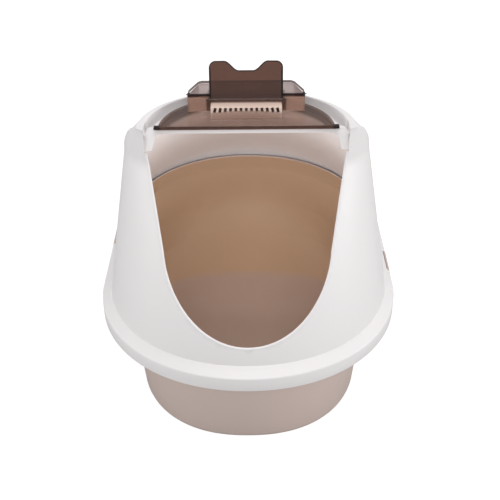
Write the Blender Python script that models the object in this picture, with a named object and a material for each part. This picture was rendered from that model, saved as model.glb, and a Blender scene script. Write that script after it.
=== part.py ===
"""Hooded cat litter box: oval pan, lift-off hood with a smoked top lid, flap, vent and side latches.

Metres, +Z up. The entry faces -Y and X is the width. Origin under the middle of the footprint.
"""

from math import asin, copysign, cos, degrees, pi, radians, sin

import bmesh
import bpy
from mathutils import Matrix, Vector

# Overall plan: an oval, two half ellipses joined by straight sides.
WIDTH = 0.410
LENGTH = 0.570
END_DEPTH = 0.200  # depth of each rounded end
ARC_Y = LENGTH / 2 - END_DEPTH  # centre of the rear end; the front one mirrors it
SQUARE = 2.07  # roundness of the ends: 2 is a true ellipse, more is squarer
FLOOR_SQUARE = 2.25
SEGMENTS = 72
GAP = 0.0003

# Pan
PAN_FLOOR_SIDE_INSET = 0.050
PAN_FLOOR_END_INSET = 0.0365
PAN_TOP_SIDE_INSET = 0.042
PAN_TOP_END_INSET = 0.0290
PAN_NECK_Z = 0.080  # the wall flares out above here
PAN_RIM_Z = 0.1398  # top of the outward rim that the hood rests on
PAN_LIP_Z = 0.158  # top of the lip standing inside the hood
PAN_LIP_INSET = 0.0225
PAN_WALL = 0.0030
PAN_FILLET = 0.030
PAN_SWEEP = 0.125  # the rear wall sweeps down to the floor in a large curve this deep
PAN_SWEEP_Z = 0.105  # where that curve leaves the wall

# Hood
SKIRT_Z = 0.120
LEDGE_OUTER_Z = 0.1415
LEDGE_INNER_Z = 0.150
LEDGE_INSET = 0.0135
HOOD_WALL = 0.0028
SHOULDER_Z = 0.362
SHOULDER_HALF = 0.1545
SHOULDER_FRONT_Y = -0.168
SHOULDER_REAR_Y = 0.100
SHOULDER_FRONT_ARC_Y = -0.095
SHOULDER_REAR_ARC_Y = -0.065
FRONT_POWER = 1.5  # the ends lean in slowly at first, then faster
REAR_POWER = 1.9
CROWN_Z = 0.407
CROWN_HALF = 0.1325
CROWN_Y = -0.130  # centre of the crown's outer edge
CROWN_ROUND = 0.80
CROWN_FRONT = 0.22
ROLL_FADE = 0.090
SHOULDER_TILT = 0.25  # the shoulder drops towards the back
TILT_Y = -0.100
SEAT_Y = -0.123  # centre of the lid's seat
SEAT_ROUND = 0.82  # depth of its arc against its half width
SEAT_Z = 0.3925
SEAT_OUTER = 0.1195
SEAT_INNER = 0.1015
WALL_STEPS = 8

# Entry: a U seen from the front, closed at the top by the roof's front bar
ENTRY_RADIUS = 0.1050
ENTRY_ARC_Z = 0.2785
ENTRY_HALF = 0.1235
BAR_Y = -0.1190
BAR_DEPTH = 0.006
BAR_LEAN = 0.55
BAR_TOP_Z = 0.3990
BAR_HEIGHT = 0.0058
BAR_CORNER = 0.0100
BAR_INNER_HALF = 0.1130
LEG_INNER_HALF = 0.1155
LEG_FOOT_Z = 0.375

# Top lid: a smoked half disc with a raised box at its back
LID_FRONT_Y = -0.1240
LID_HALF = 0.1112
LID_TOP_HALF = 0.1060
LID_BASE_Z = SEAT_Z + GAP
LID_TOP_Z = 0.4040
LID_WALL = 0.0022
LID_LIP_Z = BAR_TOP_Z + GAP
BOX_HALF = 0.0727
BOX_REAR_HALF = 0.0595
BOX_FRONT_Y = -0.0830
BOX_REAR_Y = -0.0400
BOX_TOP_Z = 0.4232
BOX_WINDOW_HALF = 0.0450
LID_TAB = 0.0020
LID_TAB_Z = 0.4004
LID_HINGE_Y = -0.0120
LID_HINGE_Z = 0.4100
LID_ARM_X = 0.0260
LID_ARM_WIDTH = 0.0080
HINGE_LUG = 0.0040
BARREL = 0.0034
PIN = 0.0013
BORE = PIN + GAP
PIN_SMALL = 0.0007
BORE_SMALL = PIN_SMALL + 0.0002
SIDES = (("left", -1), ("right", 1))

# Rear cover: a leaf over the box, turning on pins at its front corners
COVER_THICK = 0.0036
COVER_HALF = 0.0700
COVER_FRONT_Y = -0.0812
COVER_HINGE_Y = -0.0798
COVER_HINGE_Z = 0.4256
COVER_LUG_Y = -0.0772

# Cat-ear flap, vent and filter
FLAP_HALF = 0.0450
FLAP_HEIGHT = 0.0475
FLAP_DIP = 0.0115
FLAP_EAR_X = 0.0265  # where the ears start to slope down
FLAP_DIP_X = 0.0085  # where the dip is level
FLAP_THICK = 0.0022
FLAP_RIB = 0.0034
FLAP_LEAN = radians(12)  # leans back past upright, so it stays open
FLAP_Y = -0.0885
FLAP_Z = 0.4222
FLAP_LUG = 0.0036
VENT_HALF = 0.0435
VENT_FRONT_Y = -0.1040
VENT_REAR_Y = -0.0836
VENT_FOOT_Y = -0.1050
VENT_FOOT_CURVE = 0.0010
SILL_Y = -0.1068
SILL_THICK = 0.0016
SILL_RISE = 0.0124  # height of the sill's arch in the middle
SILL_END = 0.0093
VENT_TOP_Z = 0.4190
VENT_WALL = 0.0018
VENT_SLOTS = 13
VENT_PITCH = 0.0064
VENT_SLOT = 0.0033
VENT_REAR_SLOTS = 11
SLOT_TOP_Z = 0.4186
SLOT_FOOT_Z = 0.4140  # foot of the middle slot
SLOT_DROP = 0.0022  # how much lower the end slots reach
VENT_FAN = radians(14)  # lean of the end slots

# Side latches, set into the skirt
LATCH_HALF = 0.0235
LATCH_Y = 0.0375  # the right latch sits forward of the middle, the left one as far behind it
LATCH_FOOT_Z = 0.1130
LATCH_OUTER_X = 0.2050
LATCH_THICK = 0.0030
LATCH_HINGE_Z = 0.1385
LATCH_HEAD = 0.0012  # how far its round head stands above the hinge
NOTCH_INNER_X = 0.2005
NOTCH_CLEAR = 0.0006


def outline(half, front_y, front_depth, rear_y, rear_depth, square=2.0):
    """Closed oval seen from above: two half superellipses joined by straight sides."""
    points = []
    for step in range(SEGMENTS):
        turn = 2 * pi * (step + 0.5) / SEGMENTS
        across = copysign(abs(cos(turn)) ** (2 / square), cos(turn))
        along = copysign(abs(sin(turn)) ** (2 / square), sin(turn))
        y = rear_y + rear_depth * along if along > 0 else front_y + front_depth * along
        points.append((half * across, y))
    return points


def oval(inset, z):
    """The plan oval at height z, brought in by inset all round."""
    depth = END_DEPTH - inset
    return at_height(outline(WIDTH / 2 - inset, -ARC_Y, depth, ARC_Y, depth, SQUARE), z)


def at_height(points, z):
    return [Vector((x, y, z)) for x, y in points]


def material(name, color, roughness=0.4, metallic=0.0, transmission=0.0):
    made = bpy.data.materials.new(name)
    made.use_nodes = True
    shader = made.node_tree.nodes["Principled BSDF"]
    shader.inputs["Base Color"].default_value = (*color, 1.0)
    shader.inputs["Roughness"].default_value = roughness
    shader.inputs["Metallic"].default_value = metallic
    shader.inputs["Transmission Weight"].default_value = transmission
    return made


def add_object(name, shape, finish=None, origin=(0, 0, 0)):
    """Makes the object from a bmesh in world coordinates, with its origin where it turns."""
    bmesh.ops.recalc_face_normals(shape, faces=shape.faces)
    if shape.calc_volume(signed=True) < 0:
        bmesh.ops.reverse_faces(shape, faces=shape.faces)
    bmesh.ops.translate(shape, verts=shape.verts, vec=-Vector(origin))
    mesh = bpy.data.meshes.new(name)
    shape.to_mesh(mesh)
    shape.free()
    made = bpy.data.objects.new(name, mesh)
    made.location = origin
    if finish:
        mesh.materials.append(finish)
    bpy.context.scene.collection.objects.link(made)
    return made


def helper(name, shape):
    made = add_object(name, shape)
    made.hide_render = True
    made.display_type = "WIRE"
    return made


def combine(target, operation, tool):
    change = target.modifiers.new(tool.name, "BOOLEAN")
    change.operation = operation
    change.solver = "EXACT"
    change.object = tool


def skin(rings, looped=False):
    """Faces between rings of equal count; looped joins last to first, otherwise the ends are capped."""
    made = bmesh.new()
    grid = [[made.verts.new(point) for point in ring] for ring in rings]
    pairs = list(zip(grid, grid[1:]))
    if looped:
        pairs.append((grid[-1], grid[0]))
    for low, high in pairs:
        for step in range(len(low)):
            after = (step + 1) % len(low)
            made.faces.new((low[step], low[after], high[after], high[step]))
    if not looped:
        made.faces.new(list(reversed(grid[0])))
        made.faces.new(grid[-1])
    return made


def prism(points, low, high, axis="Z"):
    """A flat outline pulled along an axis. Points are (x, y), or (x, z) for Y, or (y, z) for X."""
    place = {
        "Z": lambda a, b, depth: (a, b, depth),
        "Y": lambda a, b, depth: (a, depth, b),
        "X": lambda a, b, depth: (depth, a, b),
    }[axis]
    return skin([[Vector(place(a, b, depth)) for a, b in points] for depth in (low, high)])


def block(low, high):
    corners = [(low[0], low[1]), (high[0], low[1]), (high[0], high[1]), (low[0], high[1])]
    return prism(corners, low[2], high[2])


def arc(centre, radius, start, stop, steps):
    """Points round a centre, from start to stop degrees."""
    turns = [radians(start + (stop - start) * step / steps) for step in range(steps + 1)]
    return [(centre[0] + radius * cos(turn), centre[1] + radius * sin(turn)) for turn in turns]


def rod(centre, x_low, x_high, radius, count=14):
    """A round bar along X about centre, which is (y, z)."""
    return prism(arc(centre, radius, 0, 360 - 360 / count, count - 1), x_low, x_high, axis="X")


def half_disc(half, front_y, steps=30):
    """The lid's D shape: a straight front edge, and an arc behind it about the seat's centre."""
    start = degrees(asin((front_y - SEAT_Y) / (half * SEAT_ROUND)))
    points = arc((0, 0), half, start, 180 - start, steps)
    return [(x, SEAT_Y + y * SEAT_ROUND) for x, y in points]


def box_outline(inset, front_y=None):
    """Plan of the raised box: straight front, back corners cut off."""
    front = BOX_FRONT_Y + inset if front_y is None else front_y
    rear = BOX_REAR_Y - inset
    half = BOX_HALF - inset
    rear_half = BOX_REAR_HALF - inset * 0.6
    right = [
        (half, front),
        (half - 0.0004, front + 0.20 * (rear - front)),
        (rear_half + 0.0022, rear - 0.0035),
        (rear_half - 0.0020, rear),
    ]
    return right + [(-x, y) for x, y in reversed(right)]


def box_cluster(boxes):
    """One mesh of several boxes, given as (centre, half sizes, turn about Y), for use as a cutter."""
    made = bmesh.new()
    for centre, half, turn in boxes:
        place = Matrix.Translation(centre) @ Matrix.Rotation(turn, 4, "Y")
        place = place @ Matrix.Diagonal((*(2 * size for size in half), 1))
        bmesh.ops.create_cube(made, size=1.0, matrix=place)
    return made


def span(side, near, far):
    """The low and high X of something between near and far from the middle, on one side."""
    return sorted((side * near, side * far))


def smoked(name, depth):
    """Smoked clear plastic; a deeper one is darker."""
    return material(name, (depth, depth * 0.8, depth * 0.75), 0.12, 0.0, 0.6)


# ---------------------------------------------------------------- pan
def pan_ring(side_inset, end_inset, z, lift=0.0):
    """The pan's oval at height z; lift is how far above the pan's underside this face of it starts."""
    depth = END_DEPTH - end_inset
    square = SQUARE + (FLOOR_SQUARE - SQUARE) * max(0.0, 1 - z / PAN_NECK_Z)
    below = min(1.0, max(0.0, 1 - (z - lift) / PAN_SWEEP_Z))
    rear = depth - PAN_SWEEP * (1 - (1 - below**2) ** 0.5)
    return at_height(outline(WIDTH / 2 - side_inset, -ARC_Y, depth, ARC_Y, rear, square), z)


def pan_wall(inset, heights, lift=0.0):
    """Rings of the straight wall below the neck."""
    rings = []
    for z in heights:
        share = z / PAN_NECK_Z
        side = PAN_FLOOR_SIDE_INSET + (PAN_TOP_SIDE_INSET - PAN_FLOOR_SIDE_INSET) * share
        end = PAN_FLOOR_END_INSET + (PAN_TOP_END_INSET - PAN_FLOOR_END_INSET) * share
        rings.append(pan_ring(side + inset, end + inset, z, lift))
    return rings


def pan_flare(inset, lift=0.0, steps=5):
    """Rings from the neck out to the lip, upwards."""
    top_z = PAN_RIM_Z - PAN_WALL - 0.001
    rings = []
    for step in range(steps + 1):
        rise = step / steps
        share = rise**2.6
        side = PAN_TOP_SIDE_INSET + (PAN_LIP_INSET - PAN_TOP_SIDE_INSET) * share
        end = PAN_TOP_END_INSET + (PAN_LIP_INSET - PAN_TOP_END_INSET) * share
        rings.append(pan_ring(side + inset, end + inset, PAN_NECK_Z + (top_z - PAN_NECK_Z) * rise, lift))
    return rings


def make_pan(finish):
    lip = PAN_LIP_INSET
    wall = PAN_WALL
    side, end = PAN_FLOOR_SIDE_INSET, PAN_FLOOR_END_INSET
    rim_under = PAN_RIM_Z - wall
    rings = [pan_ring(side + 0.004, end + 0.004, 0.0), pan_ring(side + 0.0012, end + 0.0012, 0.0012)]
    rings += pan_wall(0.0, (0.004, 0.010, 0.020, 0.035, 0.055))
    rings += pan_flare(0.0)
    rings.append(oval(0.0055, rim_under))
    rings.append(oval(0.0045, rim_under + 0.0006))
    rings.append(oval(0.0045, PAN_RIM_Z - 0.0006))
    rings.append(oval(0.0055, PAN_RIM_Z))
    rings.append(oval(lip - 0.0004, PAN_RIM_Z))
    rings.append(oval(lip, PAN_LIP_Z - 0.0010))
    rings.append(oval(lip + wall / 2, PAN_LIP_Z))
    rings.append(oval(lip + wall, PAN_LIP_Z - 0.0010))
    rings += list(reversed(pan_flare(wall + 0.0004, wall)))
    rings += pan_wall(wall, (0.064, 0.048), wall)
    for turn in (0, 22, 45, 68, 90):
        rise = 1 - sin(radians(turn))
        share = rise * PAN_FILLET / PAN_NECK_Z
        bend = PAN_FILLET * (1 - cos(radians(turn)))
        side_in = side + (PAN_TOP_SIDE_INSET - side) * share + wall + bend
        end_in = end + (PAN_TOP_END_INSET - end) * share + wall + bend
        rings.append(pan_ring(side_in, end_in, wall + rise * PAN_FILLET, wall))
    return add_object("litter_pan", skin(rings), finish)


# ---------------------------------------------------------------- hood
def wall_ring(share, inset, z):
    """The hood's wall at a share of the way from the ledge to the shoulder."""
    half = WIDTH / 2 - LEDGE_INSET
    half += (SHOULDER_HALF - half) * share - inset
    end = LENGTH / 2 - LEDGE_INSET
    front = -end + (SHOULDER_FRONT_Y + end) * share**FRONT_POWER + inset
    rear = end + (SHOULDER_REAR_Y - end) * share**REAR_POWER - inset
    front_arc = -ARC_Y + (SHOULDER_FRONT_ARC_Y + ARC_Y) * share
    rear_arc = ARC_Y + (SHOULDER_REAR_ARC_Y - ARC_Y) * share
    square = SQUARE + (2.0 - SQUARE) * share
    points = outline(half, front_arc, front_arc - front, rear_arc, rear - rear_arc, square)
    return [Vector((x, y, z - share * SHOULDER_TILT * max(0.0, y - TILT_Y))) for x, y in points]


def crown_ring(half, z):
    return at_height(outline(half, CROWN_Y, half * CROWN_FRONT, CROWN_Y, half * CROWN_ROUND), z)


def seat_ring(half, z):
    return at_height(outline(half, SEAT_Y, half * CROWN_FRONT, SEAT_Y, half * SEAT_ROUND), z)


def lip_ring(share, z):
    """Part of the way from the crown's edge to the seat's, seen from above."""
    pairs = zip(crown_ring(CROWN_HALF, z), seat_ring(SEAT_OUTER, z))
    return [crown.lerp(seat, share) for crown, seat in pairs]


def hood_side(inset):
    """Rings up one face of the hood's wall, inset from the outer face."""
    rise = SHOULDER_Z - LEDGE_INNER_Z
    shares = [step / WALL_STEPS for step in range(WALL_STEPS + 1)]
    return [wall_ring(share, inset, LEDGE_INNER_Z + rise * share) for share in shares]


def hood_roll(inset, steps=6):
    """Rings from the shoulder up to the crown: a full roll at the sides, fading to a slope behind."""
    rings = []
    crown = crown_ring(CROWN_HALF - inset * 0.4, CROWN_Z - inset)
    for step in range(1, steps + 1):
        turn = radians(90 * step / steps)
        share = 1 - cos(turn)
        ring = []
        for low, high in zip(wall_ring(1.0, inset, SHOULDER_Z), crown):
            roll = max(0.0, 1 - max(0.0, low.y - CROWN_Y) / ROLL_FADE)
            point = low.lerp(high, share)
            point.z = low.z + (high.z - low.z) * (roll * sin(turn) + (1 - roll) * share**0.8)
            ring.append(point)
        rings.append(ring)
    return rings


def entry_cutter():
    """The U of the entry seen from the front: a round bottom and sides that spread a little upwards."""
    side = arc((0, ENTRY_ARC_Z), ENTRY_RADIUS, -90, -4, 12)
    side += [(ENTRY_HALF, LEG_FOOT_Z), (ENTRY_HALF, CROWN_Z + 0.03)]
    points = side + [(-x, z) for x, z in reversed(side[1:])]
    return prism(points, -0.5, BAR_Y + BAR_DEPTH / 2, axis="Y")


def make_bar():
    """The front edge of the roof: a bar whose rounded ends turn down into two short legs."""
    half = ENTRY_HALF + 0.002
    corner = BAR_CORNER
    under = BAR_TOP_Z - BAR_HEIGHT
    outer = [(half, LEG_FOOT_Z)] + arc((half - corner, BAR_TOP_Z - corner), corner, 0, 90, 5)
    inside = [(LEG_INNER_HALF, LEG_FOOT_Z)]
    inside += arc((BAR_INNER_HALF - corner, under - corner), corner, 0, 90, 5)
    points = outer + [(-x, z) for x, z in reversed(outer)]
    points += [(-x, z) for x, z in inside] + [(x, z) for x, z in reversed(inside)]
    rings = []
    for depth in (0.0, BAR_DEPTH):
        rings.append([Vector((x, BAR_Y + depth - BAR_LEAN * (BAR_TOP_Z - z), z)) for x, z in points])
    return skin(rings)


def make_hood(finish):
    wall = HOOD_WALL
    rings = [oval(0.0, SKIRT_Z), oval(0.0, LEDGE_OUTER_Z - 0.0025), oval(0.0012, LEDGE_OUTER_Z)]
    rings += [oval(LEDGE_INSET - 0.0015, LEDGE_INNER_Z - 0.0008)]
    rings += hood_side(0.0)
    rings += hood_roll(0.0)
    rings += [lip_ring(0.65, CROWN_Z - 0.0004), lip_ring(0.77, CROWN_Z - 0.0020)]
    rings += [seat_ring(SEAT_OUTER, SEAT_Z), seat_ring(SEAT_INNER, SEAT_Z), seat_ring(SEAT_INNER, SEAT_Z - wall)]
    rings += [seat_ring(SEAT_OUTER + 0.001, SEAT_Z - wall)]
    rings += list(reversed(hood_roll(wall)[:-1]))
    rings += list(reversed(hood_side(wall)))
    rings += [oval(LEDGE_INSET - 0.0015, LEDGE_INNER_Z - 0.0008 - wall)]
    rings += [oval(0.0035, LEDGE_OUTER_Z - wall), oval(wall, LEDGE_OUTER_Z - wall - 0.001)]
    rings += [oval(wall, SKIRT_Z)]
    hood = add_object("hood", skin(rings, looped=True), finish)
    combine(hood, "DIFFERENCE", helper("entry_cutter", entry_cutter()))
    combine(hood, "UNION", helper("bar_shape", make_bar()))
    for ending, side in SIDES:
        for near in (LID_ARM_X - GAP - HINGE_LUG, LID_ARM_X + LID_ARM_WIDTH + GAP):
            low, high = span(side, near, near + HINGE_LUG)
            lug = hinge_lug(low, high, LID_HINGE_Y, LID_HINGE_Z, BARREL, 0.394)
            combine(hood, "UNION", helper(f"lug_{ending}_{near:.4f}", lug))
        low, high = span(side, LID_ARM_X - 0.010, LID_ARM_X + LID_ARM_WIDTH + 0.010)
        bore = rod((LID_HINGE_Y, LID_HINGE_Z), low, high, BORE)
        combine(hood, "DIFFERENCE", helper(f"lid_bore_{ending}", bore))
        low, high = span(side, NOTCH_INNER_X, WIDTH / 2 + 0.010)
        reach = LATCH_HALF + NOTCH_CLEAR
        middle = -side * LATCH_Y
        notch = block((low, middle - reach, SKIRT_Z - 0.010), (high, middle + reach, LEDGE_INNER_Z))
        combine(hood, "DIFFERENCE", helper(f"notch_{ending}", notch))
        combine(hood, "DIFFERENCE", helper(f"latch_bore_{ending}", latch_rod(side, BORE_SMALL, 0.006)))
    return hood


def hinge_lug(low, high, axis_y, axis_z, radius, foot_z, foot=0.0):
    """A rounded upright lug about an axis along X, standing down to foot_z."""
    points = arc((axis_y, axis_z), radius, 0, 180, 8)
    points += [(axis_y - radius - foot, foot_z), (axis_y + radius, foot_z)]
    return prism(points, low, high, axis="X")


# ---------------------------------------------------------------- latches
def latch_rod(side, radius, extra):
    """A thin round bar along Y on the latch's axis."""
    x = side * (LATCH_OUTER_X - LATCH_THICK / 2)
    y = -side * LATCH_Y
    points = [(x + a, LATCH_HINGE_Z + b) for a, b in arc((0, 0), radius, 0, 330, 11)]
    return prism(points, y - LATCH_HALF - extra, y + LATCH_HALF + extra, axis="Y")


def make_latch(ending, side, finish, steel):
    """A plate hanging in the skirt's notch; its head is round, and its foot turns out as a grip."""
    half = LATCH_THICK / 2
    middle = LATCH_OUTER_X - half
    top = arc((middle, LATCH_HINGE_Z + LATCH_HEAD), half, 0, 180, 8)
    foot = LATCH_FOOT_Z
    points = top + [(middle - half, foot + 0.0010), (middle - half + 0.0010, foot)]
    points += [(LATCH_OUTER_X + 0.0022, foot), (LATCH_OUTER_X + 0.0028, foot + 0.0012)]
    points += [(LATCH_OUTER_X, foot + 0.0060)]
    y = -side * LATCH_Y
    shape = prism([(side * x, z) for x, z in points], y - LATCH_HALF, y + LATCH_HALF, axis="Y")
    axis = (side * middle, y, LATCH_HINGE_Z)
    latch = add_object(f"latch_{ending}", shape, finish, axis)
    combine(latch, "DIFFERENCE", helper(f"latch_eye_{ending}", latch_rod(side, BORE_SMALL, 0.006)))
    add_object(f"latch_pin_{ending}", latch_rod(side, PIN_SMALL, 0.0040), steel, axis)


# ---------------------------------------------------------------- top lid
def make_lid(finish):
    """Half-disc tray with sloping sides, its box, and the two hinge arms behind."""
    wall = LID_WALL
    slope = (LID_HALF - LID_TOP_HALF) / (LID_TOP_Z - LID_BASE_Z)
    outer = [at_height(half_disc(LID_HALF, LID_FRONT_Y), LID_BASE_Z)]
    outer.append(at_height(half_disc(LID_TOP_HALF + 0.0010, LID_FRONT_Y), LID_TOP_Z - 0.0008))
    outer.append(at_height(half_disc(LID_TOP_HALF, LID_FRONT_Y + 0.0008), LID_TOP_Z))
    lid = add_object("top_lid", skin(outer), finish, (0, LID_HINGE_Y, LID_HINGE_Z))
    combine(lid, "UNION", helper("box_shape", prism(box_outline(0), LID_TOP_Z - 0.001, BOX_TOP_Z)))
    for ending, side in SIDES:
        low, high = span(side, COVER_HALF + GAP, BOX_HALF)
        lug = hinge_lug(low, high, COVER_HINGE_Y, COVER_HINGE_Z, 0.0022, LID_TOP_Z)
        combine(lid, "UNION", helper(f"cover_lug_{ending}", lug))
        low, high = span(side, FLAP_HALF + GAP, FLAP_HALF + GAP + FLAP_LUG)
        lug = hinge_lug(low, high, FLAP_Y, FLAP_Z, 0.0026, LID_TOP_Z - 0.001, 0.003)
        combine(lid, "UNION", helper(f"flap_lug_{ending}", lug))
        rib = block((low, FLAP_Y, LID_TOP_Z - 0.001), (high, BOX_FRONT_Y + 0.001, FLAP_Z))
        combine(lid, "UNION", helper(f"flap_rib_{ending}", rib))
        low, high = span(side, LID_ARM_X, LID_ARM_X + LID_ARM_WIDTH)
        arm = [(BOX_REAR_Y - 0.001, LID_TOP_Z - 0.0008), (-0.0345, LID_TOP_Z - 0.0008)]
        arm.append((-0.030, LID_HINGE_Z - 0.0030))
        arm += arc((LID_HINGE_Y, LID_HINGE_Z), BARREL, -115, 90, 10)
        arm += [(BOX_REAR_Y - 0.001, LID_HINGE_Z + BARREL)]
        combine(lid, "UNION", helper(f"arm_{ending}", prism(arm, low, high, axis="X")))
    for ending, side in SIDES:
        low, high = span(side, LID_TOP_HALF - 0.001, LID_HALF + 0.0010)
        tab = block((low, LID_FRONT_Y - LID_TAB, LID_TAB_Z), (high, LID_FRONT_Y + 0.005, LID_TAB_Z + 0.003))
        combine(lid, "UNION", helper(f"lid_tab_{ending}", tab))
    sill = [(-VENT_HALF, LID_TOP_Z - 0.001), (VENT_HALF, LID_TOP_Z - 0.001)]
    for step in range(9):
        x = VENT_HALF * (1 - step / 4)
        rise = SILL_END + (SILL_RISE - SILL_END) * (1 - (x / VENT_HALF) ** 2)
        sill.append((x, LID_TOP_Z + rise))
    combine(lid, "UNION", helper("vent_sill", prism(sill, SILL_Y - SILL_THICK, SILL_Y, axis="Y")))
    inner = [at_height(half_disc(LID_HALF - wall + slope * 0.004, LID_FRONT_Y + wall), LID_BASE_Z - 0.004)]
    top_half = LID_TOP_HALF - wall + slope * wall
    inner.append(at_height(half_disc(top_half, LID_FRONT_Y + wall), LID_TOP_Z - wall))
    combine(lid, "DIFFERENCE", helper("lid_hollow", skin(inner)))
    reach = BAR_Y + BAR_DEPTH + 0.002
    front = block((-0.13, LID_FRONT_Y - 0.01, LID_BASE_Z - 0.01), (0.13, reach, LID_LIP_Z))
    combine(lid, "DIFFERENCE", helper("lid_front_cut", front))
    combine(lid, "DIFFERENCE", helper("box_hollow", prism(box_outline(wall), LID_TOP_Z, BOX_TOP_Z + 0.02)))
    low = (-BOX_WINDOW_HALF, BOX_FRONT_Y + 0.010, LID_TOP_Z - 0.01)
    high = (BOX_WINDOW_HALF, BOX_REAR_Y - 0.010, LID_TOP_Z + 0.01)
    combine(lid, "DIFFERENCE", helper("box_window", block(low, high)))
    low = (-VENT_HALF + 0.006, VENT_FRONT_Y + 0.003, LID_TOP_Z - 0.01)
    high = (VENT_HALF - 0.006, VENT_REAR_Y - 0.005, LID_TOP_Z + 0.001)
    combine(lid, "DIFFERENCE", helper("vent_window", block(low, high)))
    for ending, side in SIDES:
        low, high = span(side, LID_ARM_X - 0.001, LID_ARM_X + LID_ARM_WIDTH + 0.001)
        bore = rod((LID_HINGE_Y, LID_HINGE_Z), low, high, BORE)
        combine(lid, "DIFFERENCE", helper(f"arm_bore_{ending}", bore))
        low, high = span(side, COVER_HALF - 0.001, BOX_HALF + 0.001)
        bore = rod((COVER_HINGE_Y, COVER_HINGE_Z), low, high, BORE_SMALL)
        combine(lid, "DIFFERENCE", helper(f"cover_bore_{ending}", bore))
        low, high = span(side, FLAP_HALF - 0.001, FLAP_HALF + FLAP_LUG + 0.002)
        bore = rod((FLAP_Y, FLAP_Z), low, high, BORE_SMALL)
        combine(lid, "DIFFERENCE", helper(f"flap_bore_{ending}", bore))


def make_cover(finish):
    """Flat leaf over the box, notched at its front corners for the lugs."""
    z = BOX_TOP_Z + GAP
    full = box_outline(0.0004, COVER_LUG_Y + 0.0008)
    points = full[: len(full) // 2]
    points = [(COVER_HALF, COVER_FRONT_Y), (COVER_HALF, COVER_LUG_Y + 0.0008)] + points
    points += [(-x, y) for x, y in reversed(points)]
    shape = prism(points, z, z + COVER_THICK)
    cover = add_object("rear_cover", shape, finish, (0, COVER_HINGE_Y, COVER_HINGE_Z))
    for ending, side in SIDES:
        low, high = span(side, COVER_HALF - 0.006, COVER_HALF + 0.001)
        bore = rod((COVER_HINGE_Y, COVER_HINGE_Z), low, high, BORE_SMALL)
        combine(cover, "DIFFERENCE", helper(f"cover_eye_{ending}", bore))


def ear_outline():
    """The flap seen square on, hinge axis at the origin: two ears with a dip between them."""
    half, top = FLAP_HALF, FLAP_HEIGHT
    points = [(half, 0.0)] + arc((half - 0.0085, top - 0.0085), 0.0085, 0, 80, 5)
    for step in range(9):
        share = step / 8
        x = FLAP_EAR_X + (FLAP_DIP_X - FLAP_EAR_X) * share
        points.append((x, top - FLAP_DIP * (0.5 - 0.5 * cos(pi * share))))
    return points + [(-x, z) for x, z in reversed(points)]


def make_flap(finish):
    """Plate with a deeper rim behind along both sides, and a round hinge edge."""
    half = FLAP_THICK / 2
    shape = prism(ear_outline(), -half, half, axis="Y")
    flap = add_object("ear_flap", shape, finish)
    place = Matrix.Translation((0, FLAP_Y, FLAP_Z)) @ Matrix.Rotation(-FLAP_LEAN, 4, "X")
    parts = [rod((0, 0), -FLAP_HALF, FLAP_HALF, 0.0022)]
    for side in (-1, 1):
        low, high = span(side, FLAP_HALF - 0.0024, FLAP_HALF)
        parts.append(block((low, -half, 0.0), (high, half + FLAP_RIB, FLAP_HEIGHT - 0.0085)))
    for number, part in enumerate(parts):
        combine(flap, "UNION", helper(f"flap_part_{number}", part))
    for ending, side in SIDES:
        low, high = span(side, FLAP_HALF - 0.006, FLAP_HALF + 0.001)
        combine(flap, "DIFFERENCE", helper(f"flap_eye_{ending}", rod((0, 0), low, high, BORE_SMALL)))
    for change in flap.modifiers:
        change.object.matrix_world = place
    flap.matrix_world = place


# ---------------------------------------------------------------- vent and filter
def vent_section(x, grow):
    """Section of the vent at x, brought in by grow."""
    foot = VENT_FOOT_Y - VENT_FOOT_CURVE * (x / VENT_HALF) ** 2
    low = LID_TOP_Z + GAP - (0.003 if grow else 0)
    slope = (VENT_FRONT_Y - foot) / (VENT_TOP_Z - LID_TOP_Z)
    down = low - (LID_TOP_Z + GAP)
    points = [(foot + grow + slope * down, low), (VENT_FRONT_Y + grow, VENT_TOP_Z - grow)]
    points += [(VENT_REAR_Y - grow, VENT_TOP_Z - grow), (VENT_REAR_Y - grow, low)]
    return [Vector((x, y, z)) for y, z in points]


def make_vent(finish):
    """Slotted cover over the air opening: its front teeth fan outwards."""
    wall = VENT_WALL
    steps = 10
    outer = [vent_section(VENT_HALF * (2 * step / steps - 1), 0.0) for step in range(steps + 1)]
    inner = [vent_section((VENT_HALF - wall) * (2 * step / steps - 1), wall) for step in range(steps + 1)]
    vent = add_object("vent_grille", skin(outer), finish)
    combine(vent, "DIFFERENCE", helper("vent_hollow", skin(inner)))
    boxes = []
    middle = (VENT_SLOTS - 1) / 2
    for number in range(VENT_SLOTS):
        place = number - middle
        foot = SLOT_FOOT_Z - SLOT_DROP * (place / middle) ** 2
        rise = (SLOT_TOP_Z - foot) / 2
        turn = -VENT_FAN * place / middle
        x = place * VENT_PITCH
        boxes.append(((x, VENT_FRONT_Y - 0.003, foot + rise), (VENT_SLOT / 2, 0.0055, rise), turn))
        if abs(place) <= (VENT_REAR_SLOTS - 1) / 2:
            boxes.append(((x, VENT_REAR_Y - 0.0030, VENT_TOP_Z), (VENT_SLOT / 2, 0.0008, 0.004), 0.0))
    combine(vent, "DIFFERENCE", helper("vent_slots", box_cluster(boxes)))


def make_filter(finish):
    low = (-BOX_WINDOW_HALF - 0.004, BOX_FRONT_Y + 0.004, LID_TOP_Z + GAP)
    high = (BOX_WINDOW_HALF + 0.004, BOX_REAR_Y - 0.005, LID_TOP_Z + 0.0125)
    add_object("filter_pad", block(low, high), finish)


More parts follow.
